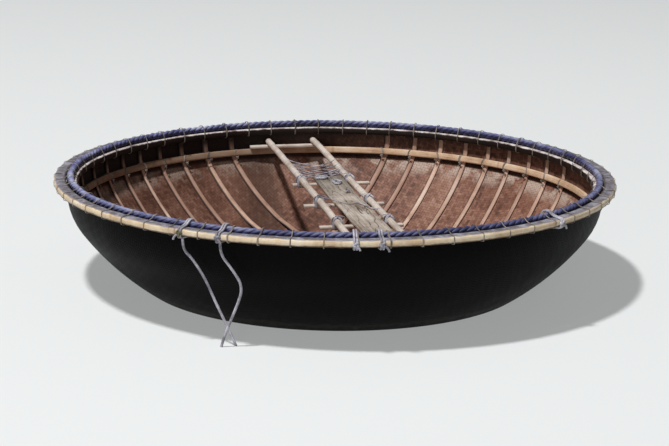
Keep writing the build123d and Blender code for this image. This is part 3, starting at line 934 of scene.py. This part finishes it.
def make_stringer_lashings(material):
    """Two or three slanting turns of cord round the stringer at each rib, with a knot and a tail below."""
    rng = Random(23)
    cord = 0.0024
    turn_pitch = 0.0027
    points = 12
    drop = Vector((0, 0, 0.008))
    turns, ends = [], []

    def add_lashing(angle):
        slant = rng.choice((-1, 1)) * rng.uniform(0.006, 0.012)
        for turn in range(rng.choice((2, 3))):
            route = []
            for k in range(points):
                inward, up = rounded_section(k / points, -0.016, 0.0073, -0.0140, 0.0140, 0.45)
                shift = (turn * turn_pitch + slant * cos(tau * k / points + 0.6)) / STRINGER_RADIUS
                route.append(stringer_point(angle + shift, inward, up))
            turns.append(route)
        along = ring_point(1, angle + pi / 2, 0)
        foot = stringer_point(angle, 0.009, -0.019)
        turns.append(knot(foot, along, Vector((0, 0, 1)), 0.006))
        ends.append([foot, foot + along * rng.uniform(-0.012, 0.012) - drop,
                     stringer_point(angle, 0.004, -0.036) + along * rng.uniform(-0.02, 0.02)])

    for layer_angle in (LOWER_RIB_ANGLE, UPPER_RIB_ANGLE):
        for k in range(RIBS_EACH_WAY):
            off_line = asin(rib_shift(k) / STRINGER_RADIUS)
            add_lashing(layer_angle + off_line)
            add_lashing(layer_angle + pi - off_line)
    lashings = cord_curve("stringer_lashing_cords", cord, loops=turns, ends=ends, bevel=1, steps=2)
    settle(lashings, [material], "pale_cord", "stringer_lashings")


# Bench

def bench_point(across, along, z):
    """Point in the bench's own directions: to its right, and along it away from the viewer."""
    return Vector((across * cos(BENCH_ANGLE) - along * sin(BENCH_ANGLE),
                   across * sin(BENCH_ANGLE) + along * cos(BENCH_ANGLE), z))


def pole_place(side):
    """How far a pole lies to the right of the bench line, for the left (-1) or right (1) one."""
    return BENCH_SHIFT + side * POLE_SPACING / 2


def make_pole(name, node, side, material, seed):
    """A bench pole: a thin cane, slightly crooked, thicker at one end, with its joints."""
    rng = Random(seed)
    low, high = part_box(node)
    half = (high[1] - low[1] - 2 * POLE_RADIUS * sin(BENCH_ANGLE)) / 2 / cos(BENCH_ANGLE)
    period = rng.uniform(0.21, 0.26)
    waves = random_waves(rng, 3, (0.0008, 0.0018), (3, 9), rng.uniform)

    def place(u, v):
        along = (u * 2 - 1) * half
        radius = POLE_RADIUS * (0.93 + 0.05 * u) + joint_swell(u * 2 * half, period, 0.0012)
        bend = wave_height(waves, along)
        return bench_point(pole_place(side) + bend + radius * cos(tau * v), along,
                           POLE_Z + radius * sin(tau * v) + bend * 0.4)

    pole = bent_bar(name, 300, 16, place, 2 * half, tau * POLE_RADIUS)
    settle(pole, [material], "weathered_wood", node)


def make_board(name, across, along, size, z, material, seed, worn=0.0016):
    """A flat board or split in the bench's directions: (width, length, thickness), edges worn round."""
    rng = Random(seed)
    width, length, thickness = size
    waves = random_waves(rng, 5, (0.0004, worn), (4, 30), rng.uniform)
    lengthwise = length >= width
    half = min(width, length) / 2

    def place(u, v):
        far = (u - 0.5) * max(width, length)
        aside, up = rounded_section(v, -half, half, 0.0, thickness, 0.28)
        wave = wave_height(waves, far) * 0.4
        spot = (aside + wave, far) if lengthwise else (far, aside + wave)
        return bench_point(across + spot[0], along + spot[1], z + up + wave * 0.3)

    board = bent_bar(name, 90, 28, place, max(width, length), 2 * (min(width, length) + thickness))
    return settle(board, [material], "weathered_wood")


def make_bench(cane, board, cord):
    make_pole("bench_cane_left", "bench_pole_left", -1, cane, 3)
    make_pole("bench_cane_right", "bench_pole_right", 1, cane, 8)
    low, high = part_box("bench_crosspiece_far")
    for name, node, shift, side in (("bench_batten_far", "bench_crosspiece_far", -0.026, 1),
                                    ("bench_batten_near", "bench_crosspiece_near", BENCH_SHIFT, -1)):
        batten = make_board(name, shift, side * 0.9085, (0.278, 0.029, high[2] - low[2]), low[2],
                            cane, 40 + side)
        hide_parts(node)
    slat_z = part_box("bench_slats")[0][2]
    slats = [make_board(f"bench_slat_{k + 1}", BENCH_SHIFT + shift, along, (0.288, 0.0255, 0.0097), slat_z,
                        cane, 50 + k) for k, (along, shift) in enumerate(SLATS)]
    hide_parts("bench_slats")
    plank_low, plank_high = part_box("bench_plank")
    plank = make_board("bench_board", 0.0195, -0.335, (0.107, 1.158, plank_high[2] - plank_low[2]),
                       plank_low[2], board, 77, worn=0.003)
    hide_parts("bench_plank")
    make_bench_lashings(cord)


# One turn of cord over a pole and under its slat, from the pole's middle: aside and up
BENCH_LOOP = (
    (0.0215, -0.0120), (0.0215, 0.0), (0.0170, 0.0110), (0.0085, 0.0155), (0.0, 0.0162),
    (-0.0085, 0.0155), (-0.0170, 0.0110), (-0.0215, 0.0), (-0.0215, -0.0120),
    (-0.0200, -0.0262), (0.0, -0.0262), (0.0200, -0.0262),
)


def make_bench_lashings(material):
    """Crossed turns of cord over each pole and under its slat, knotted on top, with their loose ends."""
    rng = Random(71)
    cord = 0.003
    turn_pitch = 0.0032
    turns, ends = [], []
    right, away, up = bench_point(1, 0, 0), bench_point(0, 1, 0), Vector((0, 0, 1))
    for along, _ in SLATS:
        for side in (-1, 1):
            across = pole_place(side)
            for heading in (radians(45), radians(135)):
                for turn in (-1, 0, 1):
                    route = []
                    for reach, z in BENCH_LOOP:
                        aside = turn * turn_pitch + rng.uniform(-0.0003, 0.0003)
                        route.append(bench_point(across + reach * cos(heading) - aside * sin(heading),
                                                 along + reach * sin(heading) + aside * cos(heading),
                                                 POLE_Z + z))
                    turns.append(route)
            top = bench_point(across, along, POLE_Z + 0.0185)
            turns.append(knot(top, right, away, 0.006))
            ends.append([top, top - right * side * 0.016 + away * 0.006 + up * 0.002,
                         top - right * side * 0.028 + away * rng.uniform(-0.02, 0.03) - up * 0.006])
    lashings = cord_curve("bench_lashing_cords", cord, loops=turns, ends=ends, bevel=1)
    settle(lashings, [material], "pale_cord", "bench_lashings")


# Lacing: where each of its runs starts and stops along the bench, its turn round a pole,
# its curls on the plank as middle, reach and number of points, and the cord over the plank and both poles
LACING_RUNS = ((0.225, 0.36), (0.275, 0.56))
LACING_TURN = ((-0.0145, 0.004), (0.0, 0.0148), (0.0148, 0.0), (0.0, -0.0150))
LACING_CURLS = (
    ((-0.008, 0.205), (0.042, 0.036), 17),
    ((0.034, 0.125), (0.034, 0.060), 14),
    ((0.041, -0.035), (0.016, 0.026), 8),
)
LACING_OVER_PLANK = (
    (-0.087, -0.140, 0.010), (-0.060, -0.162, 0.008), (-0.020, -0.205, 0.002), (0.000, -0.235, 0.001),
    (0.022, -0.222, 0.001), (0.039, -0.215, 0.001), (0.055, -0.245, 0.001), (0.062, -0.300, 0.002),
    (0.078, -0.335, 0.006), (0.093, -0.345, 0.010),
)


def make_bench_lacing(material):
    """Thin cord laced from pole to pole behind the plank, and its loose end in curls over the plank."""
    rng = Random(29)
    cord = 0.0036
    curl_turn = 1.9
    routes = []
    for start, stop in LACING_RUNS:
        route = []
        along, side = start, -1
        while along < stop:
            for aside, up in LACING_TURN:
                route.append(bench_point(pole_place(side) + side * aside, along, POLE_Z + up))
                along += 0.003
            route.append(bench_point(BENCH_SHIFT + rng.uniform(-0.02, 0.02), along + 0.010,
                                     POLE_Z - rng.uniform(0.006, 0.016)))
            along += rng.uniform(0.016, 0.040)
            side = -side
        routes.append(route)
    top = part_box("bench_plank")[1][2] + 0.003
    for middle, reach, count in LACING_CURLS:
        routes.append([bench_point(middle[0] + reach[0] * cos(k * curl_turn) * rng.uniform(0.3, 1.0),
                                   middle[1] + reach[1] * sin(k * curl_turn) * rng.uniform(0.3, 1.0),
                                   top + 0.003 * k / count + rng.uniform(0, 0.003)) for k in range(count)])
    routes.append([bench_point(across, along, top + lift) for across, along, lift in LACING_OVER_PLANK])
    lacing = cord_curve("bench_lacing_cord", cord, ends=routes, bevel=2, steps=4)
    settle(lacing, [material], "pale_cord")


def build_boat():
    white_cord = twisted_cord_nylon("twisted_cord_nylon_white", "#77737c", "#cfccd6")
    dull_cord = twisted_cord_nylon("twisted_cord_nylon_dirty", "#5d534e", "#a99d92")
    mossy_cord = twisted_cord_nylon("twisted_cord_nylon_mossy", "#3b3a28", "#77714f")
    pale_cane = rim_cane("rim_cane_pale", OUTER_HOOP, "#341b13",
                         ("#bd9b78", "#f0dab8", "#fcf2e0"), ("#2c2a36", "#6b6c7e", "#a2a2b0"))
    # The inner hoop's near-black cane tones are partly pitch and partly painted shade; its pale head tones
    # are a painted highlight.
    brown_cane = rim_cane("rim_cane_brown", INNER_HOOP, "#0c0705",
                          ("#130b08", "#1f1410", "#33231b"), ("#9d8c88", "#e0d3cf", "#faf4f1"))
    # The stringer gets painted shade on its left side.
    oiled_cane = split_bamboo("split_bamboo_oiled", ("#a07c60", "#dab897", "#f3dfc6"), 1.2,
                              STRINGER_JOINTS, 0.6, damp_and_shade=0.65)
    grey_cane = split_bamboo("whole_cane_weathered", ("#a09286", "#d3c4b8", "#f0e6dc"), 1.6, 0.235, 0.7)
    make_bridle(white_cord)
    make_hull(bamboo_weave_varnished(), bamboo_weave_pitched())
    make_hoop("rim_cane_outer", "rim_outer_hoop", pale_cane, "pale_bamboo", OUTER_HOOP, OUTER_HOOP_JOINTS,
              HITCH_ANGLES[0] - radians(14), 1)
    make_hoop("rim_cane_inner", "rim_inner_hoop", brown_cane, "brown_bamboo", INNER_HOOP, INNER_HOOP_JOINTS,
              radians(25), 2)
    make_rim_rope()
    make_rim_lashings(dull_cord)
    make_rim_hitches(white_cord, mossy_cord)
    make_ribs(split_bamboo_varnished())
    make_stringer(oiled_cane)
    make_stringer_lashings(dull_cord)
    make_bench(grey_cane, sawn_softwood_weathered(), white_cord)
    make_bench_lacing(white_cord)


place_camera()
make_floor()
light_scene()
build_boat()
bpy.context.scene.view_settings.view_transform = "Standard"
